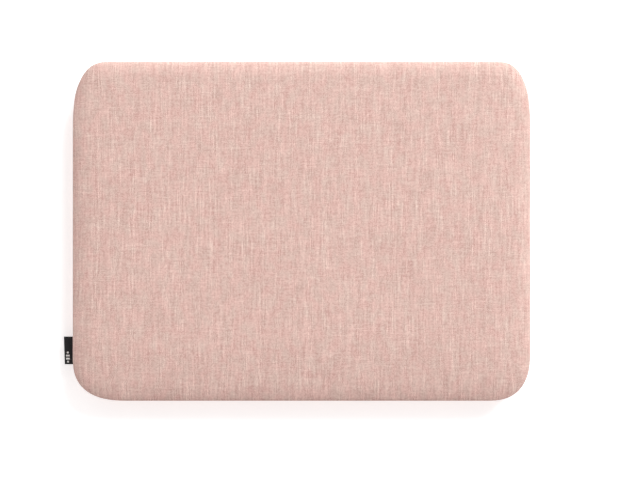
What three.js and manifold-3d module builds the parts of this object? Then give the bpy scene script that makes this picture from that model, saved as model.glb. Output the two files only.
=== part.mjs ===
// A padded laptop sleeve that zips round three sides and opens like a book.
//
// It lies on its back with the front cover up. Millimetres, +X along its length, +Y from the spine to the
// mouth, +Z up, and the origin under the middle of the back panel.
//
// The front cover and the back shell are the same stack of layers, mirrored about the plane where the two
// rows of the zip meet. Layer heights are measured from that plane towards the outer face, and insets are
// measured inwards from the sleeve's outline. From outside in, a shell's rim holds the woven fabric, the
// foam bumper, the zip tape, the seam binding and the plush lining.
import * as THREE from "three";
import { mergeVertices } from "three/addons/utils/BufferGeometryUtils.js";
import Module from "manifold-3d";

const wasm = await Module();
wasm.setup();

// Driving dimensions
const LENGTH = 328;
const WIDTH = 243;
const THICKNESS = 26;
const CORNER_RADIUS = 28;
const FABRIC = 0.7;
const PLY_GAP = 0.2;

// The rim rolls over onto the face, and tucks under to the zip's seam. Both are quarter ellipses.
const ROLL = { run: 12, rise: 5.4 };
const TUCK = { run: 3.5, rise: 3 };
const FACE = THICKNESS / 2;
const WIDEST = FACE - ROLL.rise;
const SEAM = WIDEST - TUCK.rise;

// Layers of a shell: [lowest, highest] above the zip plane, and [outer, inner] inset of its walls
const PAD_BOTTOM = 9.4;
const LINING_TOP = PAD_BOTTOM - PLY_GAP;
const LINING_THICKNESS = 1;
const FOAM_INSET = FABRIC + PLY_GAP;
const LIP_INSET = 6.2;
const CAVITY_INSET = 10;
const TAPE = { inset: [6.5, 7.1], height: [0.7, 8] };
const COIL = { inset: [4.3, 6.2], height: [0.6, 3.2] };
const SEAM_THREAD = { inset: [6.05, 6.4], height: [3.6, 4] };
const BINDING = { inset: [7.4, 8.7], height: [4.9, 7.9] };
const GUARD = { inset: [8.9, 9.7], height: [-4.2, 4.2] };

// The spine is the straight stretch without a zip, where a fabric gusset joins the two shells.
const SPINE_HALF = 122;
const SPINE_END_GAP = 0.5;
const SPINE_HEIGHT = 8.6;
const GUSSET = { inset: 3, bow: 2.4, thickness: 0.7 };
const SPINE_LINING = { inset: 8.9, bow: 4.6, thickness: 0.8 };
const END_TAB = { inset: 3.2, thickness: 0.8, length: 7, height: 8.4 };

// Each of the two sliders: plates outside and inside the tapes, joined by a thin web at the leading end
const SLIDER_FROM_MIDDLE = 7.5;
const OUTER_PLATE = { inset: [2.9, 3.9], length: 11, height: 7.6 };
const INNER_PLATE = { inset: [7.4, 8.3], length: 10, height: 7 };
const WEB = { length: 3.2, height: 0.7, end: 1.2 };
const FLANGE = { depth: 0.3, height: 0.5 };
const BAIL = { length: 7.2, height: 2.05, thickness: 0.7, width: 2 };

// Each pull: a wire link through the slider's bail, and a folded leather tab through the link
const PULL_PIVOT = { fromSlider: 1.5, inset: 2.2 };
const LINK = { wire: 0.8, width: 7, length: 8 };
const PULL_TAB = { width: 4.8, length: 20, thickness: 1.5, eye: 0.75 };

// The folded ribbon label in the left seam, near the spine
const LABEL = { width: 20, centre: -86, rootInset: 5.9, past: 7.2, ply: 0.35, gap: 0.2, lift: 0.25 };

const ARC_STEPS = 4;
const ROLL_STEPS = 5;
const CUTTER = 500;

const COLOURS = {
  woven: { color: 0xdfbcb2, roughness: 0.9 },
  foam: { color: 0x3b3b3e, roughness: 1 },
  plush: { color: 0xb9b3b0, roughness: 1 },
  tape: { color: 0xc99c92, roughness: 0.85 },
  coil: { color: 0xbf8f86, roughness: 0.45 },
  thread: { color: 0xd3a79d, roughness: 0.8 },
  label: { color: 0x1b1b1c, roughness: 0.7 },
  metal: { color: 0x4a4a4e, roughness: 0.35, metalness: 1 },
  leather: { color: 0x222021, roughness: 0.6 },
};

// Geometry to a solid that can be joined and cut, and back
function solidOf(geometry) {
  const bare = geometry.clone();
  bare.deleteAttribute("normal");
  bare.deleteAttribute("uv");
  const merged = mergeVertices(bare, 1e-4);
  const vertProperties = merged.attributes.position.array;
  const triVerts = new Uint32Array(merged.index.array);
  return new wasm.Manifold(new wasm.Mesh({ numProp: 3, vertProperties, triVerts }));
}

function geometryOf(solid) {
  const mesh = solid.getMesh();
  const geometry = new THREE.BufferGeometry();
  geometry.setAttribute("position", new THREE.BufferAttribute(mesh.vertProperties, 3));
  geometry.setIndex(new THREE.BufferAttribute(mesh.triVerts, 1));
  geometry.computeVertexNormals();
  return geometry;
}

// Basic shapes
function outline(inset, Kind = THREE.Shape) {
  const x = LENGTH / 2 - CORNER_RADIUS;
  const y = WIDTH / 2 - CORNER_RADIUS;
  const radius = CORNER_RADIUS - inset;
  const quarter = Math.PI / 2;
  const path = new Kind();
  path.absarc(x, y, radius, 0, quarter);
  path.absarc(-x, y, radius, quarter, 2 * quarter);
  path.absarc(-x, -y, radius, 2 * quarter, 3 * quarter);
  path.absarc(x, -y, radius, 3 * quarter, 4 * quarter);
  path.closePath();
  return path;
}

function box([x0, x1], [y0, y1], [z0, z1]) {
  const geometry = new THREE.BoxGeometry(x1 - x0, y1 - y0, z1 - z0);
  return geometry.translate((x0 + x1) / 2, (y0 + y1) / 2, (z0 + z1) / 2);
}

function extrude(shape, depth, options = {}) {
  return new THREE.ExtrudeGeometry(shape, { depth, bevelEnabled: false, curveSegments: ARC_STEPS, ...options });
}

function prism(inset, low, high) {
  return solidOf(extrude(outline(inset), high - low).translate(0, 0, low));
}

function band({ inset, height }) {
  const shape = outline(inset[0]);
  shape.holes.push(outline(inset[1], THREE.Path));
  return solidOf(extrude(shape, height[1] - height[0]).translate(0, 0, height[0]));
}

// A band that follows the zip, which leaves the spine out
function zipBand(sizes, spineHalf = SPINE_HALF) {
  const spine = box([-spineHalf, spineHalf], [-CUTTER, CORNER_RADIUS - WIDTH / 2], [-CUTTER, CUTTER]);
  return band(sizes).subtract(solidOf(spine));
}

const below = (height) => solidOf(box([-CUTTER, CUTTER], [-CUTTER, CUTTER], [height - CUTTER, height]));
const above = (height) => solidOf(box([-CUTTER, CUTTER], [-CUTTER, CUTTER], [height, height + CUTTER]));

// One half of the rim's section, run round the whole outline, with a flat face or underside
function rolled(inset, { run, rise }, height, bevelSegments) {
  const depth = 1;
  const bevel = {
    bevelEnabled: true,
    bevelSegments,
    bevelThickness: rise - inset,
    bevelSize: run - inset,
    bevelOffset: inset - run,
  };
  return solidOf(extrude(outline(inset), depth, bevel).translate(0, 0, height));
}

// The space inside a shell's skin, a given distance in from its outer surface
function pillow(inset) {
  const roll = rolled(inset, ROLL, WIDEST - 1, ROLL_STEPS).subtract(below(WIDEST));
  const tuck = rolled(inset, TUCK, WIDEST, ROLL_STEPS - 2).subtract(above(WIDEST));
  return roll.add(tuck);
}

// Layers of one shell
const outerPanel = () => pillow(0).subtract(pillow(FABRIC)).subtract(prism(LIP_INSET, 0, SEAM + 2 * FABRIC));
const foamPad = () => pillow(FOAM_INSET).subtract(below(PAD_BOTTOM));
const edgeBumper = () => pillow(FOAM_INSET).subtract(above(LINING_TOP)).subtract(prism(LIP_INSET, 0, FACE));

function lining() {
  const tray = prism(CAVITY_INSET - LINING_THICKNESS, SEAM, LINING_TOP);
  return tray.subtract(prism(CAVITY_INSET, 0, LINING_TOP - LINING_THICKNESS));
}

function mesh(name, colour, shape) {
  const geometry = shape.isBufferGeometry ? shape : geometryOf(shape);
  const made = new THREE.Mesh(geometry, new THREE.MeshStandardMaterial(COLOURS[colour]));
  made.name = name;
  return made;
}

function shell(side) {
  const group = new THREE.Group();
  group.add(
    mesh(`${side}_outer_panel`, "woven", outerPanel()),
    mesh(`${side}_foam_pad`, "foam", foamPad()),
    mesh(`${side}_edge_bumper`, "foam", edgeBumper()),
    mesh(`${side}_lining`, "plush", lining()),
    mesh(`${side}_seam_binding`, "tape", band(BINDING)),
    mesh(`${side}_zip_tape`, "tape", zipBand(TAPE)),
    mesh(`${side}_zip_coil`, "coil", zipBand(COIL)),
    mesh(`${side}_seam_thread`, "thread", zipBand(SEAM_THREAD)),
  );
  return group;
}

// A strip of cloth along the spine, bowed outwards so that it has the slack to let the cover open
function spineStrip({ inset, bow, thickness }) {
  const half = SPINE_HEIGHT / 2;
  const length = 2 * (SPINE_HALF - SPINE_END_GAP);
  const section = new THREE.Shape();
  section.moveTo(0, -half);
  section.quadraticCurveTo(-2 * bow, 0, 0, half);
  section.lineTo(thickness, half);
  section.quadraticCurveTo(thickness - 2 * bow, 0, thickness, -half);
  section.closePath();
  const strip = extrude(section, length);
  strip.rotateX(Math.PI / 2).rotateZ(Math.PI / 2);
  return strip.translate(-length / 2, inset - WIDTH / 2, 0);
}

function endTab(side) {
  const near = side * SPINE_HALF;
  const far = side * (SPINE_HALF + END_TAB.length);
  const outer = END_TAB.inset - WIDTH / 2;
  const half = END_TAB.height / 2;
  return box([Math.min(near, far), Math.max(near, far)], [outer, outer + END_TAB.thickness], [-half, half]);
}

function spine() {
  const group = new THREE.Group();
  group.add(
    mesh("spine_gusset", "woven", spineStrip(GUSSET)),
    mesh("spine_lining", "plush", spineStrip(SPINE_LINING)),
    mesh("zip_end_tab_left", "woven", endTab(-1)),
    mesh("zip_end_tab_right", "woven", endTab(1)),
    mesh("zip_guard", "plush", zipBand(GUARD, SPINE_HALF + SPINE_END_GAP)),
  );
  return group;
}

// The ribbon is folded in two, with the fold outside and both ends in the seam
function sideLabel() {
  const length = LABEL.rootInset + LABEL.past;
  const fold = LABEL.ply + LABEL.gap / 2;
  const section = new THREE.Shape();
  section.moveTo(length, -fold);
  section.lineTo(fold, -fold);
  section.absarc(fold, 0, fold, -Math.PI / 2, Math.PI / 2, true);
  section.lineTo(length, fold);
  section.lineTo(length, fold - LABEL.ply);
  section.lineTo(fold, fold - LABEL.ply);
  section.absarc(fold, 0, fold - LABEL.ply, Math.PI / 2, -Math.PI / 2, false);
  section.lineTo(length, LABEL.ply - fold);
  section.closePath();
  const ribbon = extrude(section, LABEL.width).rotateX(Math.PI / 2);
  ribbon.translate(-LENGTH / 2 - LABEL.past, LABEL.centre + LABEL.width / 2, LABEL.lift + fold - SEAM);
  return mesh("side_label", "label", ribbon);
}

// A slider's parts face along +X, with the depth of the groove along -Y from the outline
function plate({ inset, length, height }) {
  const radius = 2;
  const x = length / 2;
  const z = height / 2;
  const shape = new THREE.Shape();
  shape.absarc(x - radius, z - radius, radius, 0, Math.PI / 2);
  shape.absarc(radius - x, z - radius, radius, Math.PI / 2, Math.PI);
  shape.absarc(radius - x, radius - z, radius, Math.PI, 1.5 * Math.PI);
  shape.absarc(x - radius, radius - z, radius, 1.5 * Math.PI, 2 * Math.PI);
  shape.closePath();
  const flat = extrude(shape, inset[1] - inset[0]).rotateX(Math.PI / 2);
  return solidOf(flat.translate(0, -inset[0], 0));
}

function sliderBody() {
  const wall = [-INNER_PLATE.inset[0] - 0.1, 0.1 - OUTER_PLATE.inset[1]];
  const webStart = WEB.end - OUTER_PLATE.length / 2;
  const web = box([webStart, webStart + WEB.length], wall, [-WEB.height / 2, WEB.height / 2]);
  const flangeEnd = OUTER_PLATE.length / 2 - 2;
  const flangeDepth = [-OUTER_PLATE.inset[1] - FLANGE.depth, 0.1 - OUTER_PLATE.inset[1]];
  const flangeTop = OUTER_PLATE.height / 2;
  let body = plate(OUTER_PLATE).add(plate(INNER_PLATE)).add(solidOf(web));
  for (const side of [-1, 1]) {
    const heights = [side * flangeTop, side * (flangeTop - FLANGE.height)].sort((a, b) => a - b);
    body = body.add(solidOf(box([-flangeEnd, flangeEnd], flangeDepth, heights)));
  }
  return body;
}

function sliderBail() {
  const x = BAIL.length / 2;
  const inner = BAIL.height - BAIL.thickness;
  const section = new THREE.Shape();
  section.moveTo(-x, 0);
  section.bezierCurveTo(-x, BAIL.height, BAIL.height - x, BAIL.height, 0, BAIL.height);
  section.bezierCurveTo(x - BAIL.height, BAIL.height, x, BAIL.height, x, 0);
  section.lineTo(x - BAIL.thickness, 0);
  section.bezierCurveTo(x - BAIL.thickness, inner, x - BAIL.height, inner, 0, inner);
  section.bezierCurveTo(BAIL.height - x, inner, BAIL.thickness - x, inner, BAIL.thickness - x, 0);
  section.closePath();
  const arch = extrude(section, BAIL.width).translate(0, 0, -BAIL.width / 2);
  return arch.translate(0, 0.05 - OUTER_PLATE.inset[0], 0);
}

// The link and the tab are drawn about their pivot, with the pull lying along +X
function pullLink() {
  const half = LINK.wire / 2;
  const z = LINK.width / 2;
  const shape = new THREE.Shape();
  shape.moveTo(-half, -z);
  shape.lineTo(LINK.length + half, -z);
  shape.lineTo(LINK.length + half, z);
  shape.lineTo(-half, z);
  shape.closePath();
  const hole = new THREE.Path();
  hole.moveTo(half, -z + LINK.wire);
  hole.lineTo(LINK.length - half, -z + LINK.wire);
  hole.lineTo(LINK.length - half, z - LINK.wire);
  hole.lineTo(half, z - LINK.wire);
  hole.closePath();
  shape.holes.push(hole);
  return extrude(shape, LINK.wire).rotateX(Math.PI / 2).translate(0, half, 0);
}

function pullTab() {
  const half = PULL_TAB.thickness / 2;
  const start = LINK.length;
  const outer = PULL_TAB.eye + half - 0.1;
  const section = new THREE.Shape();
  section.absarc(start, 0, outer, 0.25 * Math.PI, 1.75 * Math.PI);
  section.lineTo(start + 2 * outer, -half);
  section.lineTo(start + PULL_TAB.length - half, -half);
  section.absarc(start + PULL_TAB.length - half, 0, half, -Math.PI / 2, Math.PI / 2);
  section.lineTo(start + 2 * outer, half);
  section.closePath();
  const eye = new THREE.Path();
  eye.absarc(start, 0, PULL_TAB.eye, 0, 2 * Math.PI);
  section.holes.push(eye);
  return extrude(section, PULL_TAB.width).translate(0, 0, -PULL_TAB.width / 2);
}

// The two sliders meet at the middle of the mouth. The left one is the right one turned about.
function sliderWithPull(name, side) {
  const group = new THREE.Group();
  const pull = new THREE.Group();
  pull.position.set(PULL_PIVOT.fromSlider, -PULL_PIVOT.inset, 0);
  pull.add(
    mesh(`${name}_pull_link`, "metal", pullLink()),
    mesh(`${name}_pull_tab`, "leather", pullTab()),
  );
  group.add(
    mesh(`${name}_slider_body`, "metal", sliderBody()),
    mesh(`${name}_slider_bail`, "metal", sliderBail()),
    pull,
  );
  group.position.set(side * SLIDER_FROM_MIDDLE, WIDTH / 2, 0);
  group.scale.x = side;
  return group;
}

const frontCover = shell("front");
const backShell = shell("back");
backShell.scale.z = -1;

const sleeve = new THREE.Group();
sleeve.add(
  frontCover,
  backShell,
  spine(),
  sideLabel(),
  sliderWithPull("left", -1),
  sliderWithPull("right", 1),
);
for (const piece of sleeve.children) piece.position.z += THICKNESS / 2;

export default sleeve;
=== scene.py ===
"""A padded laptop sleeve in mottled pink cloth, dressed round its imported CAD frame.

Every soft CAD solid is replaced by a piece made here. The sliders and pulls keep their CAD shapes. Lengths
are in metres. A place in a shell is given as an inset, measured inwards from the sleeve's outline, and a
height, measured from the plane where the two rows of the zip meet towards that shell's outer face.
"""

import math

import bmesh
import bpy
import numpy as np
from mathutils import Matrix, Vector, noise


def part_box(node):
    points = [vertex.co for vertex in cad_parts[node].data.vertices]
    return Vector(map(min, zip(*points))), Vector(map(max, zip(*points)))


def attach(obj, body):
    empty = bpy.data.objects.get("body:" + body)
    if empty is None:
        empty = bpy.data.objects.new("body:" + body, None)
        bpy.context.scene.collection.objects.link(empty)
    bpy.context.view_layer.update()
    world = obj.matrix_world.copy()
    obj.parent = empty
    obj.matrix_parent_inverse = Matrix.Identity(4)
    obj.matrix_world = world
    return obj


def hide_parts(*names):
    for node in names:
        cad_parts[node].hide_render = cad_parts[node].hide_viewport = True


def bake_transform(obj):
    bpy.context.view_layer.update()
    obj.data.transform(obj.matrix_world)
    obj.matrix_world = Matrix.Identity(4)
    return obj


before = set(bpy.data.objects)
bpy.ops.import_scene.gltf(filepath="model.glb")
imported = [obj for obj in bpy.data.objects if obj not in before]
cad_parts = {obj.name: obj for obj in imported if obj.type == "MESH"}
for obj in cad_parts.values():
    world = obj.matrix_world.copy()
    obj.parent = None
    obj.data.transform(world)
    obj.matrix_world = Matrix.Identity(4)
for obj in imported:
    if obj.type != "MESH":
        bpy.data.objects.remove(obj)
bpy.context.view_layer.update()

# Sizes that the frame gives
MM = 0.001
panel_low, panel_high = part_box("front_outer_panel")
HALF = np.array([panel_high.x, panel_high.y])
MIDDLE = (panel_high.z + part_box("back_outer_panel")[0].z) / 2
FACE = panel_high.z - MIDDLE
SEAM = panel_low.z - MIDDLE
SPINE_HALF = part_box("spine_gusset")[1].x
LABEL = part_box("side_label")

# The sections of a shell, as part.mjs has them
CORNER_RADIUS = 28 * MM
FABRIC = 0.7 * MM
PLY_GAP = 0.2 * MM
ROLL_RUN = 12 * MM
TUCK_RUN = 3.5 * MM
TUCK_RISE = 3 * MM
LIP_INSET = 6.2 * MM
WIDEST = SEAM + TUCK_RISE
ROLL_RISE = FACE - WIDEST
PAD_BOTTOM = 9.4 * MM
CAVITY_INSET = 10 * MM
LINING = 1 * MM
LINING_FILLET = 3 * MM

# The cloth isn't cut to true arcs. Each corner reaches its own distance along X and Y, starting with the
# one at the spine's right end and going round by the right side and the mouth.
CLOTH_REACH = np.array([(31, 36), (24, 50), (26, 50), (40, 31)]) * MM
CLOTH_POWER = 2.6
ROUND_REACH = np.full((4, 2), CORNER_RADIUS)

# How far the padded face falls away towards each edge, and over what distance. It rises to the mouth.
FALL = {"spine": (3.8 * MM, 42 * MM), "mouth": (-0.5 * MM, 40 * MM), "side": (2.2 * MM, 34 * MM)}
BACK_FALL = 0.4
RIPPLE = 0.12 * MM
FACE_CROWDING = 1.6

# The cloth simulation that swells the front pad, and the most that it may add
PUFF_VOXEL = 6 * MM
PUFF_PRESSURE = 0.6
PUFF_FRAMES = 12
PUFF_STIFFNESS = 40
PUFF_MOST = 0.7 * MM

# Thread spacings in millimetres, and the cloth's two tones as display values
WARP_PITCH = 0.76
WEFT_PITCH = 0.74
CLOTH_ROSE = (209, 171, 162)
CLOTH_PALE = (204, 173, 163)

# The zip. A coil's centre and reach are each an inset and a height.
COIL_PITCH = 1.5 * MM
COIL_WIRE = 0.3 * MM
COIL_CENTRE = (5.25 * MM, 1.55 * MM)
COIL_REACH = (0.95 * MM, 1.7 * MM)
COIL_STEPS = 10
TAPE_THICKNESS = 0.6 * MM
BINDING_THICKNESS = 1.3 * MM
SEAM_PITCH = 3.2 * MM
SEAM_STITCH = 2.5 * MM
SEAM_SINK = 0.5 * MM
SEAM_INSET = 6.1 * MM
SEAM_WIRE = 0.22 * MM

# The guard's ends slope down to a share of its height
GUARD_THICKNESS = 0.8 * MM
GUARD_SLOPE = 16 * MM
GUARD_END = 0.45
GUARD_WAVE = 0.12 * MM

# Each strip of the spine: its edges' inset, its crest's inset, the crest's power, and its thickness
GUSSET_SHAPE = (3.8 * MM, 0.9 * MM, 2.2, FABRIC)
BACKING_SHAPE = (9.2 * MM, 2.6 * MM, 1.5, 0.8 * MM)
END_TAB_SHAPE = (3.4 * MM, 0.05 * MM, 2.4, FABRIC)
END_TAB_LAP = 2.5 * MM

# The label hangs a little loose, leaning and drooping. Its mark's place is measured from its low corner,
# and the bars' half lengths, their pitch and the threads of a bar are in millimetres.
LABEL_PLY = 0.3 * MM
LABEL_LOOSE = 0.8 * MM
LABEL_LEAN = 0.03
LABEL_DROOP = 0.4 * MM
MARK_PLACE = (1.9 * MM, 5.2 * MM)
MARK_BARS = (0.7, 1.4, 1.4, 0.7)
MARK_PITCH = 2.2
MARK_ROWS = (-0.5, -0.25, 0, 0.25, 0.5)

# The stitches of a pull's leather tab
PULL_START = 5.6 * MM
PULL_ROWS = (-1.5 * MM, 1.5 * MM)
PULL_COUNT = 7
PULL_PITCH = 2 * MM
PULL_STITCH = 0.72 * MM
PULL_SINK = 0.25 * MM
PULL_SURFACE = 0.75 * MM
PULL_WIRE = 0.16 * MM

# Light and view
SLEEVE_CENTRE = Vector((0, 0, MIDDLE))
SOFTBOX_SIZE = (1.7, 1.3)
SOFTBOX_ENERGY = 121
SOFTBOX_COLOUR = (0.88, 1, 1)
SOFTBOX_WAY = Vector((0.45, 0.65, 0.61))
SOFTBOX_DISTANCE = 3.3
SKY_COLOUR = (1, 0.955, 0.95, 1)
SKY_STRENGTH = 0.765
SKY_LEAN = (0.07, 0.14, -0.1)
FLOOR_HALF = 20
FLOOR_GLOW = 0.45
LENS = 100
VIEW_WIDTH = 0.4584
VIEW_CENTRE = Vector((0.0132, -0.0062))


# Tracks round the sleeve

class Track:
    """Evenly spaced points along an outline, with outward normals and the distance along it."""

    def __init__(self, points, step, closed):
        steps = np.linalg.norm(np.diff(points, axis=0), axis=1)
        along = np.concatenate([[0], np.cumsum(steps)])
        count = 4 * max(1, round(along[-1] / step / 4))
        self.closed = closed
        self.length = along[-1]
        self.along = np.linspace(0, along[-1], count + 1)[: count if closed else count + 1]
        self.points = np.stack([np.interp(self.along, along, points[:, k]) for k in (0, 1)], axis=1)
        if closed:
            tangent = np.roll(self.points, -1, axis=0) - np.roll(self.points, 1, axis=0)
        else:
            tangent = np.gradient(self.points, axis=0)
        tangent /= np.linalg.norm(tangent, axis=1)[:, None]
        self.normals = np.stack([tangent[:, 1], -tangent[:, 0]], axis=1)

    def inset(self, distance):
        return self.points - np.asarray(distance)[..., None, None] * self.normals


def outline_points(reach, power):
    """The whole outline, from the middle of the spine round by +X and back, as closely spaced points."""
    angle = np.linspace(0, math.pi / 2, 97)
    falling = np.cos(angle).clip(0) ** (2 / power)
    rising = np.sin(angle).clip(0) ** (2 / power)
    track = [np.array([[0, -HALF[1]]])]
    for corner, (x, y) in enumerate(((1, -1), (1, 1), (-1, 1), (-1, -1))):
        shape = (rising, falling) if x * y < 0 else (falling, rising)
        offset = np.stack(shape, axis=1) * reach[corner]
        track.append((HALF - reach[corner] + offset) * (x, y))
    return np.concatenate([*track, track[0]])


def whole_track(reach=ROUND_REACH, power=2, step=2.2 * MM):
    return Track(outline_points(reach, power), step, closed=True)


def settled(xy, inset, share):
    """Moves points part of the way to where the CAD outline has that inset. A share of 1 is all the way."""
    reach = np.abs(xy) - (HALF - CORNER_RADIUS)
    in_corner = (reach > 0).all(-1)
    corner_reach = np.linalg.norm(reach.clip(0), axis=-1)
    straight = np.stack([reach[..., 0] >= reach[..., 1], reach[..., 0] < reach[..., 1]], axis=-1)
    direction = np.where(in_corner[..., None], reach / corner_reach.clip(1e-9)[..., None], straight)
    gap = np.where(in_corner, corner_reach, reach.max(-1)) - CORNER_RADIUS
    move = share * (gap + inset)
    return xy - move[..., None] * direction * np.sign(xy)


def zip_track(step=2.2 * MM, past_spine=0.0):
    """The outline without the spine, where there is no zip."""
    points = outline_points(ROUND_REACH, 2)
    on_spine = (np.abs(points[:, 0]) < SPINE_HALF + past_spine) & (points[:, 1] < 0)
    ends = np.array([[SPINE_HALF + past_spine, -HALF[1]], [-SPINE_HALF - past_spine, -HALF[1]]])
    kept = points[~on_spine]
    return Track(np.concatenate([ends[:1], kept, ends[1:]]), step, closed=False)


# Meshes

def make_object(name, verts, faces, body, material, flat=None):
    """A smooth mesh object that rides on a body. flat is each point's place on the cloth."""
    mesh = bpy.data.meshes.new(name)
    mesh.from_pydata([tuple(v) for v in np.asarray(verts, float)], [], faces)
    if flat is not None:
        layer = mesh.attributes.new("flat", "FLOAT_VECTOR", "POINT")
        flat3 = np.zeros((len(verts), 3), np.float32)
        flat3[:, : flat.shape[1]] = flat
        layer.data.foreach_set("vector", flat3.ravel())
    work = bmesh.new()
    work.from_mesh(mesh)
    bmesh.ops.remove_doubles(work, verts=work.verts, dist=1e-6)
    bmesh.ops.recalc_face_normals(work, faces=work.faces)
    work.to_mesh(mesh)
    work.free()
    mesh.polygons.foreach_set("use_smooth", [True] * len(mesh.polygons))
    made = bpy.data.objects.new(name, mesh)
    bpy.context.scene.collection.objects.link(made)
    made.data.materials.append(material)
    if body:
        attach(made, body)
    return made


def grid_faces(rows, columns, round_rows=False, round_columns=False, start=0):
    """Quads over a grid of points held row by row. Either direction may close on itself."""
    faces = []
    for r in range(rows if round_rows else rows - 1):
        for c in range(columns if round_columns else columns - 1):
            right = (c + 1) % columns
            below = (r + 1) % rows
            faces.append((start + r * columns + c, start + r * columns + right,
                          start + below * columns + right, start + below * columns + c))
    return faces


def end_caps(rows, columns, start=0):
    """The two faces that close a tube whose ends are its first and last columns."""
    first = [start + r * columns for r in range(rows)]
    last = [start + r * columns + columns - 1 for r in range(rows)]
    return [first, last[::-1]]


def swept(track, section, side=1, wander=0.0):
    """The points of a section of (inset, height) pairs run along a track, and their places on the cloth."""
    section = np.asarray(section, float)
    xy = track.inset(section[:, 0]) - np.reshape(wander, (1, -1, 1)) * track.normals
    z = MIDDLE + side * np.broadcast_to(section[:, 1, None], xy.shape[:2])
    across = np.concatenate([[0], np.cumsum(np.linalg.norm(np.diff(section, axis=0), axis=1))])
    flat = np.stack(np.broadcast_arrays(track.along[None, :], across[:, None]), axis=2)
    return np.concatenate([xy, z[..., None]], axis=2), flat


def sweep(name, track, section, side, body, material):
    """A closed section run round a track, as one solid strip."""
    points, flat = swept(track, section, side)
    rows, columns = points.shape[:2]
    faces = grid_faces(rows, columns, round_rows=True, round_columns=track.closed)
    if not track.closed:
        faces += end_caps(rows, columns)
    return make_object(name, points.reshape(-1, 3), faces, body, material, flat.reshape(-1, 2))


def rounded_strip(inset, height, radius):
    """The section of a flat strip with round edges, between two insets and two heights."""
    centres = [(inset[1] - radius, height[0] + radius, -90), (inset[1] - radius, height[1] - radius, 0),
               (inset[0] + radius, height[1] - radius, 90), (inset[0] + radius, height[0] + radius, 180)]
    section = []
    for x, z, start in centres:
        for angle in np.radians(np.linspace(start, start + 90, 5)):
            section.append((x + radius * math.cos(angle), z + radius * math.sin(angle)))
    return section


def quarter(start_inset, run, height, rise, count):
    """A quarter ellipse from (start_inset, height) that ends run further in and rise higher."""
    angle = np.linspace(0, math.pi / 2, count)
    return np.stack([start_inset + run * (1 - np.cos(angle)), height + rise * np.sin(angle)], axis=1)


def tube(line, reference, radius, sides, start=0):
    """A tube along a line, whose section is turned to the reference directions. Its ends are closed."""
    tangent = np.gradient(line, axis=0)
    tangent /= np.linalg.norm(tangent, axis=1)[:, None]
    first = reference - (reference * tangent).sum(1)[:, None] * tangent
    first /= np.linalg.norm(first, axis=1)[:, None]
    second = np.cross(tangent, first)
    angle = np.linspace(0, 2 * math.pi, sides, endpoint=False)
    radius = np.broadcast_to(radius, len(line))[:, None, None]
    ring = np.cos(angle)[None, :, None] * first[:, None] + np.sin(angle)[None, :, None] * second[:, None]
    points = (line[:, None] + radius * ring).transpose(1, 0, 2)
    faces = grid_faces(sides, len(line), round_rows=True, start=start)
    return points.reshape(-1, 3), faces + end_caps(sides, len(line), start)


def tubes(name, lines, references, radius, sides, body, material):
    """Many tubes as one piece. The cloth's first coordinate runs along each tube."""
    verts, faces, flat = [], [], []
    count = 0
    for line, reference in zip(lines, references):
        points, quads = tube(line, reference, radius, sides, count)
        verts.append(points)
        faces += quads
        along = np.linspace(0, 1, len(line)) * np.linalg.norm(np.diff(line, axis=0), axis=1).sum()
        turn = np.linspace(0, 1, sides, endpoint=False)
        flat.append(np.stack(np.broadcast_arrays(along[None, :], turn[:, None]), axis=2).reshape(-1, 2))
        count += len(points)
    return make_object(name, np.concatenate(verts), faces, body, material, np.concatenate(flat))


# Node materials

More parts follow.
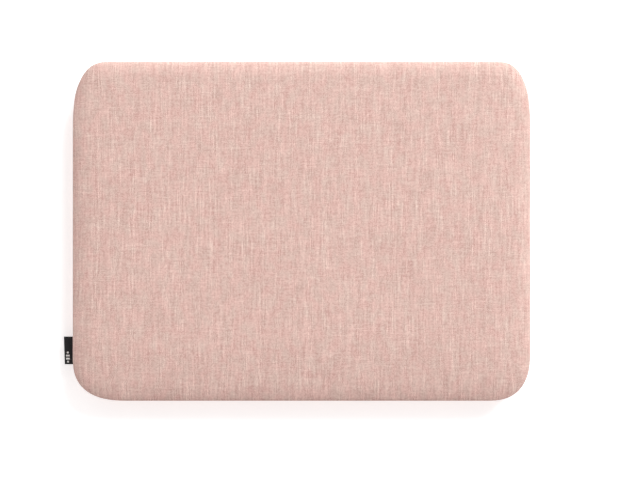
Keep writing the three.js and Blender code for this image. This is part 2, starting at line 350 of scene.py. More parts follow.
class Shader:
    """A material's node tree with short calls for the nodes that this script uses."""

    def __init__(self, name):
        self.material = bpy.data.materials.new(name)
        self.material.use_nodes = True
        self.tree = self.material.node_tree
        self.bsdf = self.tree.nodes["Principled BSDF"]

    def node(self, kind, inputs=(), **settings):
        made = self.tree.nodes.new(kind)
        for key, value in settings.items():
            setattr(made, key, value)
        for key, value in dict(inputs).items():
            self.plug(value, made.inputs[key])
        return made

    def plug(self, value, socket):
        if isinstance(value, bpy.types.NodeSocket):
            self.tree.links.new(value, socket)
        else:
            socket.default_value = value

    def set(self, **values):
        for key, value in values.items():
            self.plug(value, self.bsdf.inputs[key.replace("_", " ")])

    def math(self, operation, a, b=0.0, c=0.0):
        return self.node("ShaderNodeMath", {0: a, 1: b, 2: c}, operation=operation).outputs[0]

    def vector(self, x=0.0, y=0.0, z=0.0):
        return self.node("ShaderNodeCombineXYZ", {0: x, 1: y, 2: z}).outputs[0]

    def split(self, vector):
        return self.node("ShaderNodeSeparateXYZ", {0: vector}).outputs

    def flat(self):
        """The place on the cloth, in millimetres."""
        found = self.node("ShaderNodeAttribute", attribute_name="flat").outputs["Vector"]
        return self.node("ShaderNodeVectorMath", {0: found, 3: 1 / MM}, operation="SCALE").outputs[0]

    def space(self):
        """The place in the sleeve, in millimetres."""
        found = self.node("ShaderNodeTexCoord").outputs["Object"]
        return self.node("ShaderNodeVectorMath", {0: found, 3: 1 / MM}, operation="SCALE").outputs[0]

    def noise(self, vector, scale, detail=2.0, roughness=0.5):
        inputs = {"Vector": vector, "Scale": scale, "Detail": detail, "Roughness": roughness}
        return self.node("ShaderNodeTexNoise", inputs).outputs["Fac"]

    def cells(self, vector, scale, feature="F1"):
        inputs = {"Vector": vector, "Scale": scale}
        return self.node("ShaderNodeTexVoronoi", inputs, feature=feature).outputs["Distance"]

    def random(self, value, seed=0.0):
        made = self.node("ShaderNodeTexWhiteNoise", noise_dimensions="2D")
        self.plug(self.vector(value, seed), made.inputs["Vector"])
        return made.outputs["Value"]

    def ramp(self, value, low, high, start=0.0, end=1.0):
        """Maps low..high to start..end, smoothly and no further."""
        inputs = {"Value": value, 1: low, 2: high, 3: start, 4: end}
        return self.node("ShaderNodeMapRange", inputs, interpolation_type="SMOOTHSTEP").outputs[0]

    def mix(self, factor, a, b, blend="MIX"):
        inputs = {0: factor, 6: a, 7: b}
        return self.node("ShaderNodeMix", inputs, data_type="RGBA", blend_type=blend).outputs[2]

    def bump(self, height, distance, strength=1.0):
        inputs = {"Height": height, "Distance": distance, "Strength": strength}
        self.plug(self.node("ShaderNodeBump", inputs).outputs[0], self.bsdf.inputs["Normal"])


def linear(red, green, blue):
    """A colour given as 0 to 255 display values, for a shader."""
    parts = [c / 255 for c in (red, green, blue)]
    return [c / 12.92 if c <= 0.04045 else ((c + 0.055) / 1.055) ** 2.4 for c in parts] + [1.0]


def woven_cloth():
    """A mottled linen-like cloth: slubby warp threads along Y, crossed by finer, quieter weft along X, with
    painted shade in the gaps.
    """
    s = Shader("woven_cloth")
    x, y, _ = s.split(s.flat())
    warp, weft = s.math("MULTIPLY", x, 1 / WARP_PITCH), s.math("MULTIPLY", y, 1 / WEFT_PITCH)
    warp_number, weft_number = s.math("FLOOR", warp), s.math("FLOOR", weft)
    warp_run = thread_run(s, warp_number, y, 7.31)
    weft_run = thread_run(s, weft_number, x, 5.17)
    streaky = s.noise(s.vector(s.math("MULTIPLY", x, 0.05), s.math("MULTIPLY", y, 0.035), 3), 1, 2)
    parity = s.ramp(s.math("PINGPONG", s.math("ADD", warp_number, weft_number), 1), 0.4, 0.6)
    warp_share = s.math("SUBTRACT", 0.88, s.math("MULTIPLY", parity, 0.42))
    run = s.node("ShaderNodeMix", {0: warp_share, 2: weft_run, 3: warp_run}).outputs[0]
    run = s.math("SUBTRACT", run, 0.55)
    run = s.math("MULTIPLY", run, s.ramp(streaky, 0.35, 0.65, 0.29, 0.43))

    blotch = s.noise(s.vector(s.math("MULTIPLY", x, 0.13), s.math("MULTIPLY", y, 0.09), 5), 1, 3, 0.55)
    warmth = s.noise(s.vector(s.math("MULTIPLY", x, 0.14), s.math("MULTIPLY", y, 0.09), 9), 1, 3)
    ground = s.mix(s.ramp(warmth, 0.32, 0.68), linear(*CLOTH_ROSE), linear(*CLOTH_PALE))

    warp_round = s.math("SINE", s.math("MULTIPLY", s.math("FRACT", warp), math.pi))
    weft_round = s.math("SINE", s.math("MULTIPLY", s.math("FRACT", weft), math.pi))
    over = s.math("MULTIPLY", warp_round, s.math("SUBTRACT", 1, s.math("MULTIPLY", parity, 0.6)))
    under = s.math("MULTIPLY", weft_round, s.math("ADD", 0.4, s.math("MULTIPLY", parity, 0.6)))
    height = s.math("MAXIMUM", over, under)
    fleck = s.math("MULTIPLY_ADD", s.random(warp_number, weft_number), 0.26, 0.84)
    level = s.math("ADD", s.math("ADD", run, fleck), s.ramp(blotch, 0.3, 0.7, -0.004, 0.004))
    # Painted shade: the colour darkens where the threads are low, in the gaps between them.
    level = s.math("MULTIPLY", level, s.ramp(height, 0.15, 0.9, 0.88, 1.04))
    red = s.math("MULTIPLY_ADD", level, 0.72, 0.28)
    s.set(Base_Color=s.mix(1.0, ground, s.vector(red, level, level), "MULTIPLY"))
    s.set(Roughness=s.ramp(warp_run, 0.3, 0.7, 0.95, 0.82), Sheen_Weight=0.2, Sheen_Roughness=0.5)
    s.set(Sheen_Tint=linear(226, 246, 250), Specular_IOR_Level=0.2)
    s.bump(height, 0.12 * MM, 0.5)
    return s.material


def thread_run(s, number, along, spread):
    """How light a thread is along its run. Neighbouring threads have nothing to do with each other."""
    start = s.math("MULTIPLY", s.random(number, spread), 60)
    place = s.vector(s.math("MULTIPLY", number, spread), s.math("MULTIPLY_ADD", along, 0.06, start), spread)
    slub = s.noise(place, 1, 3, 0.55)
    return s.math("ADD", s.ramp(slub, 0.26, 0.74), s.ramp(slub, 0.58, 0.72, 0, 0.4))


def plush():
    """Short grey pile, brushed in soft patches."""
    s = Shader("plush_lining")
    place = s.space()
    pile = s.noise(place, 1.9, 4, 0.7)
    brushed = s.noise(place, 0.03, 2)
    colour = s.mix(s.ramp(brushed, 0.2, 0.8), linear(174, 167, 164), linear(185, 179, 176))
    colour = s.mix(s.ramp(pile, 0.32, 0.68, 0, 0.5), colour, linear(209, 204, 201))
    s.set(Base_Color=colour, Roughness=s.ramp(pile, 0.3, 0.7, 0.98, 0.88))
    s.set(Sheen_Weight=0.6, Sheen_Roughness=0.4, Specular_IOR_Level=0.15)
    s.bump(pile, 0.35 * MM, 0.7)
    return s.material


def foam():
    """Open-cell foam, with painted shade darkening its pores."""
    s = Shader("foam_padding")
    place = s.space()
    cell = s.cells(place, 1.7)
    tone = s.noise(place, 0.1, 2)
    # Painted shade: the colour darkens towards the middle of each cell, in the pores.
    colour = s.mix(s.ramp(cell, 0.1, 0.55), linear(46, 46, 49), linear(70, 70, 73))
    colour = s.mix(s.ramp(tone, 0.4, 0.6, 0, 0.3), colour, linear(60, 58, 57))
    s.set(Base_Color=colour, Roughness=s.ramp(cell, 0, 0.6, 1, 0.9), Specular_IOR_Level=0.2)
    s.bump(cell, 0.3 * MM, 0.8)
    return s.material


def ribbed_tape(name, dark, light, rib):
    """A narrow woven tape, with ribs along it and fine picks across, and painted shade in the hollows
    between them.
    """
    s = Shader(name)
    along, across, _ = s.split(s.flat())
    pick = s.math("MULTIPLY", along, 1 / 0.45)
    slant = s.math("ADD", pick, s.math("MULTIPLY", across, 1.6))
    twill = s.math("SINE", s.math("MULTIPLY", slant, 2 * math.pi))
    ribs = s.math("SINE", s.math("MULTIPLY", across, 2 * math.pi / rib))
    height = s.math("ADD", s.math("MULTIPLY", twill, 0.35), ribs)
    run = s.noise(s.vector(s.math("MULTIPLY", along, 0.3), s.math("MULTIPLY", across, 2)), 1, 3)
    colour = s.mix(s.ramp(run, 0.35, 0.65), dark, light)
    # Painted shade: the colour darkens in the hollows of the ribs and the twill.
    shade = s.ramp(height, -1.2, 1.2, 0.8, 1.05)
    s.set(Base_Color=s.mix(1.0, colour, s.vector(shade, shade, shade), "MULTIPLY"))
    s.set(Roughness=s.ramp(run, 0.3, 0.7, 0.9, 0.75), Sheen_Weight=0.15, Specular_IOR_Level=0.3)
    s.bump(height, 0.08 * MM, 0.6)
    return s.material


def nylon():
    """The satin nylon of the zip's coils."""
    s = Shader("coil_nylon")
    place = s.space()
    drawn = s.noise(place, 1.2, 3)
    s.set(Base_Color=s.mix(s.ramp(drawn, 0.35, 0.65), linear(190, 143, 134), linear(206, 162, 152)))
    s.set(Roughness=s.ramp(drawn, 0.3, 0.7, 0.32, 0.48), Specular_IOR_Level=0.5)
    s.bump(drawn, 0.03 * MM, 0.4)
    return s.material


def thread():
    """Twisted two-ply sewing thread, with painted shade in the grooves between its plies."""
    s = Shader("sewing_thread")
    along, turn, _ = s.split(s.node("ShaderNodeAttribute", attribute_name="flat").outputs["Vector"])
    twist = s.math("ADD", s.math("MULTIPLY", along, 2 / MM), s.math("MULTIPLY", turn, 2))
    ply = s.math("ABSOLUTE", s.math("SINE", s.math("MULTIPLY", twist, math.pi)))
    # Painted shade: the colour darkens in the grooves where the plies twist round each other.
    s.set(Base_Color=s.mix(s.ramp(ply, 0, 0.8), linear(176, 128, 119), linear(222, 180, 170)))
    s.set(Roughness=s.ramp(ply, 0, 1, 0.9, 0.6), Sheen_Weight=0.2)
    s.bump(ply, 0.05 * MM, 0.6)
    return s.material


def satin_ribbon(name, dark, light):
    """A tightly woven ribbon, glossier along its warp, with painted shade in the hollows of its weave."""
    s = Shader(name)
    x, y, _ = s.split(s.flat())
    warp = s.math("ABSOLUTE", s.math("SINE", s.math("MULTIPLY", x, math.pi / 0.22)))
    weft = s.math("ABSOLUTE", s.math("SINE", s.math("MULTIPLY", y, math.pi / 0.3)))
    height = s.math("MULTIPLY", warp, weft)
    worn = s.noise(s.vector(x, y), 0.5, 3)
    # Painted shade: the colour darkens in the hollows between the woven bumps.
    colour = s.mix(s.ramp(height, 0.1, 0.9), dark, light)
    s.set(Base_Color=s.mix(s.ramp(worn, 0.5, 0.75, 0, 0.25), colour, light))
    s.set(Roughness=s.ramp(height, 0, 1, 0.75, 0.5), Sheen_Weight=0.1, Specular_IOR_Level=0.35)
    s.bump(height, 0.04 * MM, 0.6)
    return s.material


def gunmetal():
    """Dark plated zinc, brushed along the slider and rubbed bright on its edges."""
    s = Shader("gunmetal")
    place = s.space()
    x, y, z = s.split(place)
    drawn_out = s.vector(s.math("MULTIPLY", x, 0.8), s.math("MULTIPLY", y, 14), s.math("MULTIPLY", z, 14))
    brushed = s.noise(drawn_out, 1, 3)
    pitted = s.noise(place, 3, 3, 0.6)
    edge = s.node("ShaderNodeNewGeometry").outputs["Pointiness"]
    colour = s.mix(s.ramp(brushed, 0.35, 0.65), linear(78, 77, 80), linear(104, 103, 106))
    s.set(Base_Color=s.mix(s.ramp(edge, 0.52, 0.6, 0, 0.6), colour, linear(170, 168, 166)))
    s.set(Metallic=1.0, Roughness=s.ramp(pitted, 0.35, 0.7, 0.26, 0.42))
    s.bump(brushed, 0.02 * MM, 0.3)
    return s.material


def leather():
    """Fine-grained black leather, a little rubbed."""
    s = Shader("pull_leather")
    place = s.space()
    grain = s.cells(place, 1.5, "SMOOTH_F1")
    crease = s.noise(place, 0.8, 4, 0.6)
    colour = s.mix(s.ramp(grain, 0.05, 0.5), linear(24, 22, 22), linear(52, 48, 47))
    s.set(Base_Color=s.mix(s.ramp(crease, 0.55, 0.75, 0, 0.35), colour, linear(78, 72, 69)))
    s.set(Roughness=s.ramp(crease, 0.3, 0.7, 0.45, 0.68), Specular_IOR_Level=0.45)
    s.bump(s.math("ADD", grain, s.math("MULTIPLY", crease, 0.5)), 0.12 * MM, 0.7)
    return s.material


CLOTH = woven_cloth()
PLUSH = plush()
FOAM = foam()
TAPE_WEAVE = ribbed_tape("zip_tape_weave", linear(186, 139, 130), linear(206, 160, 150), 1.1)
BINDING_WEAVE = ribbed_tape("binding_tape_weave", linear(178, 134, 126), linear(198, 155, 146), 0.8)
NYLON = nylon()
THREAD = thread()
RIBBON = satin_ribbon("label_ribbon", linear(14, 14, 15), linear(38, 37, 38))
RIBBON_MARK = satin_ribbon("label_mark", linear(232, 231, 228), linear(252, 252, 250))
METAL = gunmetal()
LEATHER = leather()


# The two shells

def swell_of(x, y, side):
    """How far the padded face stands above its flat height at a place. It drops towards the edges."""
    drop = np.zeros_like(x)
    for name, distance in (("spine", y + HALF[1]), ("mouth", HALF[1] - y), ("side", HALF[0] - np.abs(x))):
        most, over = FALL[name]
        drop += most * (1 - (distance / over).clip(0, 1)) ** 2
    if side < 0:
        return -BACK_FALL * drop
    return lift_at(x, y) - drop


def ripple_of(x, y, seed):
    """The small unevenness of cloth over foam, in height."""
    values = []
    for px, py in zip(x.ravel(), y.ravel()):
        broad = noise.noise(Vector((px * 22, py * 22, seed)))
        fine = noise.noise(Vector((px * 61, py * 61, seed)))
        values.append(broad + 0.5 * fine)
    return RIPPLE * np.array(values).reshape(x.shape)


def face_rows(edge, count):
    """Points from the sleeve's middle line out to an edge ring, closer together near the edge.

    The points of the middle line are spaced alike from both sides, so that they join.
    """
    even = whole_track(step=whole_track().length / len(edge))
    middle_line = np.zeros_like(edge)
    middle_line[:, 0] = even.points[:, 0].clip(HALF[1] - HALF[0], HALF[0] - HALF[1])
    share = 1 - (1 - np.linspace(0, 1, count)) ** FACE_CROWDING
    return middle_line[None] + share[:, None, None] * (edge - middle_line)[None]


def cover_profile(depth):
    """The section of the padded rim at a depth under its outer surface, from the face to the lip."""
    roll = quarter(depth, ROLL_RUN - depth, WIDEST, ROLL_RISE - depth, 9)[::-1]
    tuck = quarter(depth, TUCK_RUN - depth, WIDEST, -(TUCK_RISE - depth), 6)[1:]
    lip = [(inset, SEAM + depth) for inset in (4.4 * MM, 5.3 * MM, LIP_INSET)]
    return np.concatenate([roll, tuck, lip])


def simulated_lift():
    """How far pressure lifts the front's skin, on the grid. A coarse copy of it is held at the seam."""
    skin, _ = cover_points(1, 0)
    before, after = simulated_cloth(skin)
    face = before[:, 2] > MIDDLE + WIDEST
    lift = (after - before)[face, 2]
    lift *= PUFF_MOST / lift.max()
    grid = np.stack(np.meshgrid(*PUFF_AXES, indexing="ij"), axis=-1)
    distance = np.linalg.norm(grid[:, :, None] - before[face][None, None, :, :2], axis=-1)
    weight = np.exp(-(distance / PUFF_VOXEL) ** 2 / 2) + 1e-12
    return (weight * lift).sum(-1) / weight.sum(-1)


def lift_at(x, y):
    """The lift at places, straight across each cell of the grid."""
    cells, parts = [], []
    for value, axis in zip((x, y), PUFF_AXES):
        place = ((value - axis[0]) / PUFF_VOXEL).clip(0, len(axis) - 1.001)
        cells.append(place.astype(int))
        parts.append(place - cells[-1])
    (i, j), (u, v) = cells, parts
    near = (1 - u) * lift_grid[i, j] + u * lift_grid[i + 1, j]
    far = (1 - u) * lift_grid[i, j + 1] + u * lift_grid[i + 1, j + 1]
    return (1 - v) * near + v * far


def simulated_cloth(rows):
    """Closes a skin along its seam, remeshes it, and blows it up. Returns its points before and after."""
    count, columns = rows.shape[:2]
    faces = grid_faces(count, columns, round_columns=True)
    faces.append([(count - 1) * columns + c for c in range(columns)][::-1])
    made = make_object("pad_simulation", rows.reshape(-1, 3), faces, None, FOAM)
    remesh = made.modifiers.new("remesh", "REMESH")
    remesh.mode = "VOXEL"
    remesh.voxel_size = PUFF_VOXEL
    coarse = bpy.data.meshes.new_from_object(made.evaluated_get(bpy.context.evaluated_depsgraph_get()))
    made.modifiers.clear()
    made.data = coarse
    before = mesh_points(coarse)
    held = made.vertex_groups.new(name="seam")
    held.add(np.flatnonzero(before[:, 2] < MIDDLE + SEAM + 1.5 * MM).tolist(), 1.0, "REPLACE")
    cloth = made.modifiers.new("cloth", "CLOTH")
    cloth.settings.use_pressure = True
    cloth.settings.uniform_pressure_force = PUFF_PRESSURE
    cloth.settings.vertex_group_mass = "seam"
    cloth.settings.effector_weights.gravity = 0
    cloth.settings.tension_stiffness = PUFF_STIFFNESS
    cloth.settings.compression_stiffness = PUFF_STIFFNESS
    cloth.point_cache.frame_end = PUFF_FRAMES
    for frame_number in range(1, PUFF_FRAMES + 1):
        bpy.context.scene.frame_set(frame_number)
    after = mesh_points(made.evaluated_get(bpy.context.evaluated_depsgraph_get()).data)
    bpy.data.objects.remove(made)
    bpy.context.scene.frame_set(1)
    return before, after


def mesh_points(mesh):
    """A mesh's points as rows of x, y and z."""
    flat = np.empty(3 * len(mesh.vertices), np.float32)
    mesh.vertices.foreach_get("co", flat)
    return flat.reshape(-1, 3).astype(float)


def cover_points(side, depth):
    """The outer surface of a shell at a depth, as rows from the middle of the face to the lip."""
    track = whole_track(CLOTH_REACH, CLOTH_POWER)
    profile = cover_profile(depth)
    under = ((WIDEST - profile[:, 1]) / (TUCK_RISE - depth)).clip(0, 1)
    rim = settled(track.inset(profile[:, 0]), profile[:, :1], under[:, None])
    face = face_rows(rim[0], 26)[:-1]
    xy = np.concatenate([face, rim])
    height = np.concatenate([np.full(len(face), profile[0, 1]), profile[:, 1]])
    height = np.broadcast_to(height[:, None], xy.shape[:2]).copy()
    weight = ((height - SEAM - depth) / (FACE - SEAM - 2 * depth)).clip(0, 1)
    x, y = xy[..., 0], xy[..., 1]
    height += weight * (swell_of(x, y, side) + ripple_of(x, y, 3.0 * side))
    if side < 0:
        height = np.minimum(height, FACE - depth)
    unrolled = np.concatenate([[0], np.cumsum(np.linalg.norm(np.diff(profile, axis=0), axis=1))])
    flat = np.concatenate([face, rim[0][None] + unrolled[:, None, None] * track.normals[None]])
    z = MIDDLE + side * height
    return np.concatenate([xy, z[..., None]], axis=2), flat


def outer_panel(name, side, body):
    """The woven cloth of a shell, from the face round the rim to the lip."""
    points, flat = cover_points(side, 0)
    rows, columns = points.shape[:2]
    faces = grid_faces(rows, columns, round_columns=True)
    made = make_object(f"{name}_outer_cloth", points.reshape(-1, 3), faces, body, CLOTH,
                       flat.reshape(-1, 2))
    thicken(made, FABRIC)
    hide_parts(f"{name}_outer_panel")


def thicken(made, thickness):
    """Gives a sheet its cloth's thickness, inwards."""
    solid = made.modifiers.new("thickness", "SOLIDIFY")
    solid.thickness = thickness
    solid.offset = -1
    solid.use_even_offset = True


def foam_pad(name, side, body):
    """The foam under a shell's face, crowned on its outer side and flat inside."""
    points, _ = cover_points(side, FABRIC + PLY_GAP)
    kept = points[np.abs(points[:, 0, 2] - MIDDLE) >= PAD_BOTTOM]
    edge = kept[-1].copy()
    edge[:, 2] = MIDDLE + side * PAD_BOTTOM
    under_xy = face_rows(edge[:, :2], 12)[::-1]
    under_z = np.full(under_xy.shape[:2] + (1,), MIDDLE + side * PAD_BOTTOM)
    rows = np.concatenate([kept, np.concatenate([under_xy, under_z], axis=2)])
    faces = grid_faces(len(rows), rows.shape[1], round_columns=True)
    made = make_object(f"{name}_foam_padding", rows.reshape(-1, 3), faces, body, FOAM)
    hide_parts(f"{name}_foam_pad")


def edge_bumper(name, side, body):
    """The foam roll inside the rim, from the edge of the pad round to the seam."""
    points, _ = cover_points(side, FABRIC + PLY_GAP)
    top = PAD_BOTTOM - PLY_GAP
    outside = points[(np.abs(points[..., 2] - MIDDLE) < top - 0.2 * MM).all(axis=1)]
    ledge = np.concatenate([outside[-1:, :, :2], outside[:1, :, 2:]], axis=2)
    rows = np.concatenate([outside, ledge])
    faces = grid_faces(len(rows), rows.shape[1], round_rows=True, round_columns=True)
    made = make_object(f"{name}_edge_roll", rows.reshape(-1, 3), faces, body, FOAM)
    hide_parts(f"{name}_edge_bumper")


def lining(name, side, body):
    """A shallow tray of plush, with a soft fillet where its floor meets its wall."""
    track = whole_track()
    top = PAD_BOTTOM - PLY_GAP
    floor_height = top - LINING
    corner = quarter(CAVITY_INSET, LINING_FILLET, floor_height - LINING_FILLET, LINING_FILLET, 7)
    half = LINING / 2
    turn = np.linspace(0, math.pi, 7)
    hem = [(CAVITY_INSET - half + half * math.cos(a), SEAM + half - half * math.sin(a)) for a in turn]
    outside = [(CAVITY_INSET - LINING, height) for height in np.linspace(SEAM + LINING, top, 4)]
    inner_edge = track.inset(corner[-1, 0])
    inner_face = face_rows(inner_edge, 26)[:-1]
    outer_face = face_rows(track.inset(outside[-1][0]), 14)[:-1][::-1]
    section = np.concatenate([corner[::-1], hem, outside])
    xy = np.concatenate([inner_face, track.inset(section[:, 0]), outer_face])
    heights = [[floor_height] * len(inner_face), section[:, 1], [top] * len(outer_face)]
    height = np.broadcast_to(np.concatenate(heights)[:, None], xy.shape[:2]).copy()
    soft = len(inner_face)
    height[:soft] += 0.8 * ripple_of(xy[:soft, :, 0], xy[:soft, :, 1], 7.0 * side)
    points = np.concatenate([xy, (MIDDLE + side * height)[..., None]], axis=2)
    faces = grid_faces(*points.shape[:2], round_columns=True)
    made = make_object(f"{name}_plush_lining", points.reshape(-1, 3), faces, body, PLUSH)
    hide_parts(f"{name}_lining")


def inset_of(node):
    """How far a ring's outer wall is from the sleeve's outline."""
    return HALF[0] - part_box(node)[1].x


def height_range(node):
    """A node's lowest and highest heights in its shell."""
    low, high = (abs(c.z - MIDDLE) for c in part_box(node))
    return min(low, high), max(low, high)


def seam_binding(name, side, body):
    """The tape that covers the raw edge of the zip seam inside a shell."""
    inset = inset_of(f"{name}_seam_binding")
    low, high = height_range(f"{name}_seam_binding")
    section = rounded_strip((inset, inset + BINDING_THICKNESS), (low, high), 0.6 * MM)
    made = sweep(f"{name}_binding_tape", whole_track(), section, side, body, BINDING_WEAVE)
    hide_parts(f"{name}_seam_binding")


def zip_tape(name, side, body):
    """The flat tape that carries the coil, sewn under the rim."""
    inset = inset_of(f"{name}_zip_tape")
    low, high = height_range(f"{name}_zip_tape")
    section = rounded_strip((inset, inset + TAPE_THICKNESS), (low, high), 0.29 * MM)
    made = sweep(f"{name}_woven_zip_tape", zip_track(), section, side, body, TAPE_WEAVE)
    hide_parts(f"{name}_zip_tape")


def zip_coil(name, side, body):
    """A continuous nylon coil. The two rows are half a turn apart, so that their heads mesh."""
    track = zip_track(step=COIL_PITCH / COIL_STEPS)
    phase = 2 * math.pi * track.along / COIL_PITCH + (0 if side > 0 else math.pi)
    inset = COIL_CENTRE[0] + (COIL_REACH[0] - COIL_WIRE) * np.cos(phase)
    height = COIL_CENTRE[1] + (COIL_REACH[1] - COIL_WIRE) * np.sin(phase)
    xy = track.points - inset[:, None] * track.normals
    line = np.concatenate([xy, (MIDDLE + side * height)[:, None]], axis=1)
    tangents = np.stack([-track.normals[:, 1], track.normals[:, 0], 0 * inset], axis=1)
    made = tubes(f"{name}_coil", [line], [tangents], COIL_WIRE, 6, body, NYLON)
    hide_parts(f"{name}_zip_coil")


def seam_stitches(name, side, body):
    """The row of stitches that sews the zip tape under the rim."""
    track = zip_track(step=SEAM_PITCH)
    height = sum(height_range(f"{name}_seam_thread")) / 2
    tangents = np.stack([-track.normals[:, 1], track.normals[:, 0]], axis=1)
    lines, references = [], []
    share = np.linspace(-1, 1, 7)
    for place, normal, tangent in zip(track.points[1:-1], track.normals[1:-1], tangents[1:-1]):
        inset = SEAM_INSET + SEAM_SINK * share ** 4
        xy = place + share[:, None] * tangent * SEAM_STITCH / 2 - inset[:, None] * normal
        lines.append(np.concatenate([xy, np.full((7, 1), MIDDLE + side * height)], axis=1))
        references.append(np.tile([0, 0, 1.0], (7, 1)))
    made = tubes(f"{name}_seam_stitches", lines, references, SEAM_WIRE, 6, body, THREAD)
    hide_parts(f"{name}_seam_thread")


# The simulation starts from the skin without its lift, so the grid is empty at first
PUFF_AXES = [np.arange(-half, half + PUFF_VOXEL, PUFF_VOXEL) for half in HALF]
lift_grid = np.zeros([len(axis) for axis in PUFF_AXES])
lift_grid = simulated_lift()
for shell_name, shell_side, shell_body in (("front", 1, "front_cover"), ("back", -1, "back_shell")):
    foam_pad(shell_name, shell_side, shell_body)
    edge_bumper(shell_name, shell_side, shell_body)
    outer_panel(shell_name, shell_side, shell_body)
    lining(shell_name, shell_side, shell_body)
    seam_binding(shell_name, shell_side, shell_body)
    zip_tape(shell_name, shell_side, shell_body)
    zip_coil(shell_name, shell_side, shell_body)
    seam_stitches(shell_name, shell_side, shell_body)


# The zip guard and the spine

def zip_guard():
    """A strip of plush that stands up inside the zip and keeps it off the laptop. Its ends slope down."""
    inset = inset_of("zip_guard")
    half = height_range("zip_guard")[1]
    track = zip_track(past_spine=0.5 * MM)
    from_end = np.minimum(track.along, track.along[-1] - track.along)
    rise = GUARD_END + (1 - GUARD_END) * np.sin(math.pi / 2 * (from_end / GUARD_SLOPE).clip(0, 1))
    wave = [GUARD_WAVE * noise.noise(Vector((distance * 55, 0, 5))) for distance in track.along]
    section = rounded_strip((inset, inset + GUARD_THICKNESS), (-half, half), 0.38 * MM)
    points, _ = swept(track, section, 1, wave)
    points[..., 2] = MIDDLE - half + (points[..., 2] - MIDDLE + half) * rise
    rows, columns = points.shape[:2]
    faces = grid_faces(rows, columns, round_rows=True) + end_caps(rows, columns)
    made = make_object("zip_guard_strip", points.reshape(-1, 3), faces, "back_shell", PLUSH)
    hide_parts("zip_guard")


def spine_strip(name, node, shape, x_range, material, step=2.5 * MM):
    """A strip along the spine that bulges outwards.

    It returns the piece and its width when laid flat.
    """
    edge_inset, crest_inset, power, thickness = shape
    share = np.linspace(-1, 1, 25)
    half = SEAM - 0.1 * MM
    inset = crest_inset + (edge_inset - crest_inset) * np.abs(share) ** power
    outside = np.stack([inset, share * half], axis=1)
    slope = np.gradient(outside, axis=0)
    slope /= np.linalg.norm(slope, axis=1)[:, None]
    inside = outside + thickness * np.stack([slope[:, 1], -slope[:, 0]], axis=1)
    inside[:, 1] = inside[:, 1].clip(-half, half)
    section = np.concatenate([outside, inside[::-1]])
    x = np.linspace(*x_range, max(2, round((x_range[1] - x_range[0]) / step)))
    points = np.stack(np.broadcast_arrays(
        x[None, :], section[:, 0, None] - HALF[1], MIDDLE + section[:, 1, None]), axis=2)
    across = np.concatenate([[0], np.cumsum(np.linalg.norm(np.diff(section, axis=0), axis=1))])
    flat = np.stack(np.broadcast_arrays(x[None, :], across[:, None]), axis=2)
    rows, columns = points.shape[:2]
    faces = grid_faces(rows, columns, round_rows=True) + end_caps(rows, columns)
    made = make_object(name, points.reshape(-1, 3), faces, None, material, flat.reshape(-1, 2))
    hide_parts(node)
    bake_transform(made)
    return made, np.linalg.norm(np.diff(outside, axis=0), axis=1).sum()


zip_guard()
spine_range = (-SPINE_HALF, SPINE_HALF)
gusset, gusset_width = spine_strip(
    "spine_gusset_cloth", "spine_gusset", GUSSET_SHAPE, spine_range, CLOTH)
backing, backing_width = spine_strip(
    "spine_lining_cloth", "spine_lining", BACKING_SHAPE, spine_range, PLUSH)
for tab_name in ("zip_end_tab_left", "zip_end_tab_right"):
    tab_low, tab_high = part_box(tab_name)
    lap = END_TAB_LAP * (1 if tab_low.x < 0 else -1)
    tab_range = (tab_low.x + min(lap, 0), tab_high.x + max(lap, 0))
    spine_strip(f"{tab_name}_cloth", tab_name, END_TAB_SHAPE, tab_range, CLOTH, step=1 * MM)


# The side label

def askew(points):
    """Hangs points of the label slightly off square and drooping, more so further out of the seam."""
    low, high = LABEL
    out = ((high.x - points[..., 0]) / (high.x - low.x)).clip(0)
    sideways = out * LABEL_LEAN * (high.y - points[..., 1])
    return points + np.stack([sideways, 0 * out, -LABEL_DROOP * out ** 2], axis=-1)


def side_label():
    """A folded ribbon in the left seam, hanging very slightly askew."""
    low, high = LABEL
    low = low - Vector((LABEL_LOOSE, 0, 0))
    middle_z = (low.z + high.z) / 2
    fold = (high.z - low.z) / 2
    inside = fold - LABEL_PLY
    turn = np.linspace(-math.pi / 2, math.pi / 2, 9)
    outer = [(low.x + fold - fold * math.cos(a), fold * math.sin(a)) for a in turn]
    inner = [(low.x + fold - inside * math.cos(a), inside * math.sin(a)) for a in turn[::-1]]
    reach = np.linspace(high.x, low.x + fold, 7)[:-1]
    section = [(x, -fold) for x in reach] + outer + [(x, fold) for x in reach[::-1]]
    section += [(x, inside) for x in reach] + inner + [(x, -inside) for x in reach[::-1]]
    x, z = np.array(section).T[:, :, None]
    y = np.linspace(low.y, high.y, 15)
    points = np.stack(np.broadcast_arrays(x, y[None, :], middle_z + z), axis=2)
    flat = points[..., :2]
    points = askew(points)
    rows, columns = points.shape[:2]
    faces = grid_faces(rows, columns, round_rows=True) + end_caps(rows, columns)
    made = make_object("folded_side_label", points.reshape(-1, 3), faces, "back_shell",
                       RIBBON, flat.reshape(-1, 2))
    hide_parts("side_label")


def label_mark():
    """A plain woven ornament of bars, on both faces of the label."""
    low, high = LABEL
    centre = Vector((low.x + MARK_PLACE[0], low.y + MARK_PLACE[1]))
    lines, references = [], []
    for z in (low.z, high.z):
        for k, half in enumerate(MARK_BARS):
            x = centre.x + np.linspace(-half, half, 7) * MM
            for row in MARK_ROWS:
                y = centre.y + ((k - 1.5) * MARK_PITCH + row) * MM
                lines.append(askew(np.stack(np.broadcast_arrays(x, y, z), axis=1)))
                references.append(np.tile([0, 0, 1.0], (7, 1)))
    tubes("label_woven_mark", lines, references, 0.17 * MM, 6, "back_shell", RIBBON_MARK)


side_label()
label_mark()


# The sliders and pulls

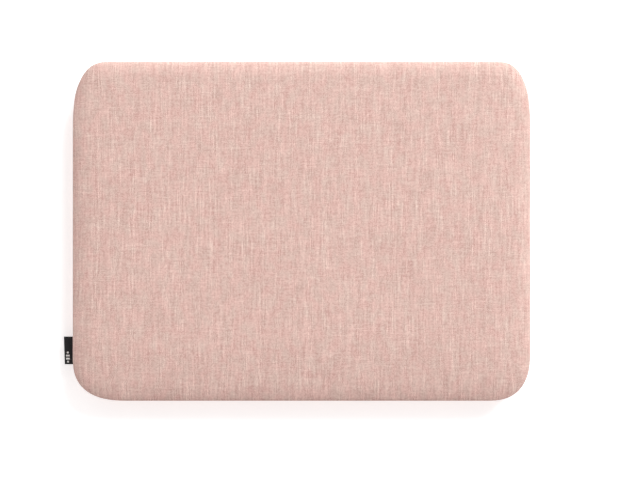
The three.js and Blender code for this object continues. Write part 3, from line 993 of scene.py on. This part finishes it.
def dress(node, material, bevel):
    """A CAD piece keeps its shape, with its edges eased and a better material."""
    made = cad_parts[node]
    weld = made.modifiers.new("weld", "WELD")
    weld.merge_threshold = 0.005 * MM
    ease = made.modifiers.new("ease", "BEVEL")
    ease.width = bevel
    ease.segments = 3
    ease.limit_method = "ANGLE"
    ease.angle_limit = math.radians(28)
    ease.harden_normals = True
    made.data.materials.clear()
    made.data.materials.append(material)


def pull_stitches(name):
    """Two rows of stitches down the leather tab."""
    low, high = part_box(f"{name}_pull_tab")
    direction = 1 if low.x + high.x > 0 else -1
    start = (low.x if direction > 0 else high.x) + PULL_START * direction
    middle_y = (low.y + high.y) / 2
    lines, references = [], []
    share = np.linspace(-1, 1, 7)
    for face in (-1, 1):
        for row in PULL_ROWS:
            for k in range(PULL_COUNT):
                x = start + direction * (k * PULL_PITCH + share * PULL_STITCH)
                y = middle_y + face * (PULL_SURFACE + 0.05 * MM - PULL_SINK * share ** 4)
                lines.append(np.stack(np.broadcast_arrays(x, y, MIDDLE + row), axis=1))
                references.append(np.tile([0, 0, 1.0], (7, 1)))
    tubes(f"{name}_pull_stitches", lines, references, PULL_WIRE, 6, f"{name}_pull", THREAD)


for slider in ("left", "right"):
    dress(f"{slider}_slider_body", METAL, 0.16 * MM)
    dress(f"{slider}_slider_bail", METAL, 0.12 * MM)
    dress(f"{slider}_pull_link", METAL, 0.2 * MM)
    dress(f"{slider}_pull_tab", LEATHER, 0.22 * MM)
    pull_stitches(slider)


# Floor, light and camera

def floor():
    """A plain pale floor that glows a little, which keeps the shadow faint."""
    s = Shader("pale_floor")
    mottle = s.noise(s.space(), 0.02, 2)
    s.set(Base_Color=s.mix(mottle, (0.84, 0.84, 0.84, 1), (0.87, 0.87, 0.87, 1)), Roughness=0.9)
    s.set(Specular_IOR_Level=0.1, Emission_Color=(1, 1, 1, 1), Emission_Strength=FLOOR_GLOW)
    mesh = bpy.data.meshes.new("floor")
    corners = [(x * FLOOR_HALF, y * FLOOR_HALF, -0.1 * MM) for x, y in ((-1, -1), (1, -1), (1, 1), (-1, 1))]
    mesh.from_pydata(corners, [], [(0, 1, 2, 3)])
    made = bpy.data.objects.new("floor", mesh)
    bpy.context.scene.collection.objects.link(made)
    made.data.materials.append(s.material)


def softbox():
    """A large soft light, above the mouth and to the right."""
    light = bpy.data.lights.new("softbox", "AREA")
    light.shape = "RECTANGLE"
    light.size, light.size_y = SOFTBOX_SIZE
    light.energy = SOFTBOX_ENERGY
    light.color = SOFTBOX_COLOUR
    made = bpy.data.objects.new("softbox", light)
    made.location = SLEEVE_CENTRE + SOFTBOX_DISTANCE * SOFTBOX_WAY
    made.rotation_euler = SOFTBOX_WAY.to_track_quat("Z", "Y").to_euler()
    made.visible_camera = False
    bpy.context.scene.collection.objects.link(made)


def sky():
    """A pale surround, a little brighter on the softbox's side and a little dimmer overhead."""
    world = bpy.data.worlds.new("studio")
    bpy.context.scene.world = world
    world.use_nodes = True
    tree = world.node_tree
    place = tree.nodes.new("ShaderNodeTexCoord").outputs["Generated"]
    side = tree.nodes.new("ShaderNodeVectorMath")
    side.operation = "DOT_PRODUCT"
    side.inputs[1].default_value = SKY_LEAN
    level = tree.nodes.new("ShaderNodeMath")
    level.inputs[1].default_value = SKY_STRENGTH
    tree.links.new(place, side.inputs[0])
    tree.links.new(side.outputs["Value"], level.inputs[0])
    tree.links.new(level.outputs[0], tree.nodes["Background"].inputs["Strength"])
    tree.nodes["Background"].inputs["Color"].default_value = SKY_COLOUR


def camera():
    """Straight above the sleeve, with the mouth at the top of the picture."""
    made = bpy.data.objects.new("camera", bpy.data.cameras.new("camera"))
    made.data.lens = LENS
    made.data.sensor_width = 36
    distance = LENS / made.data.sensor_width * VIEW_WIDTH
    made.location = (VIEW_CENTRE.x, VIEW_CENTRE.y, MIDDLE + WIDEST + distance)
    made.data.clip_start = 0.01
    bpy.context.scene.collection.objects.link(made)
    bpy.context.scene.camera = made


floor()
softbox()
sky()
camera()
bpy.context.scene.view_settings.view_transform = "Standard"
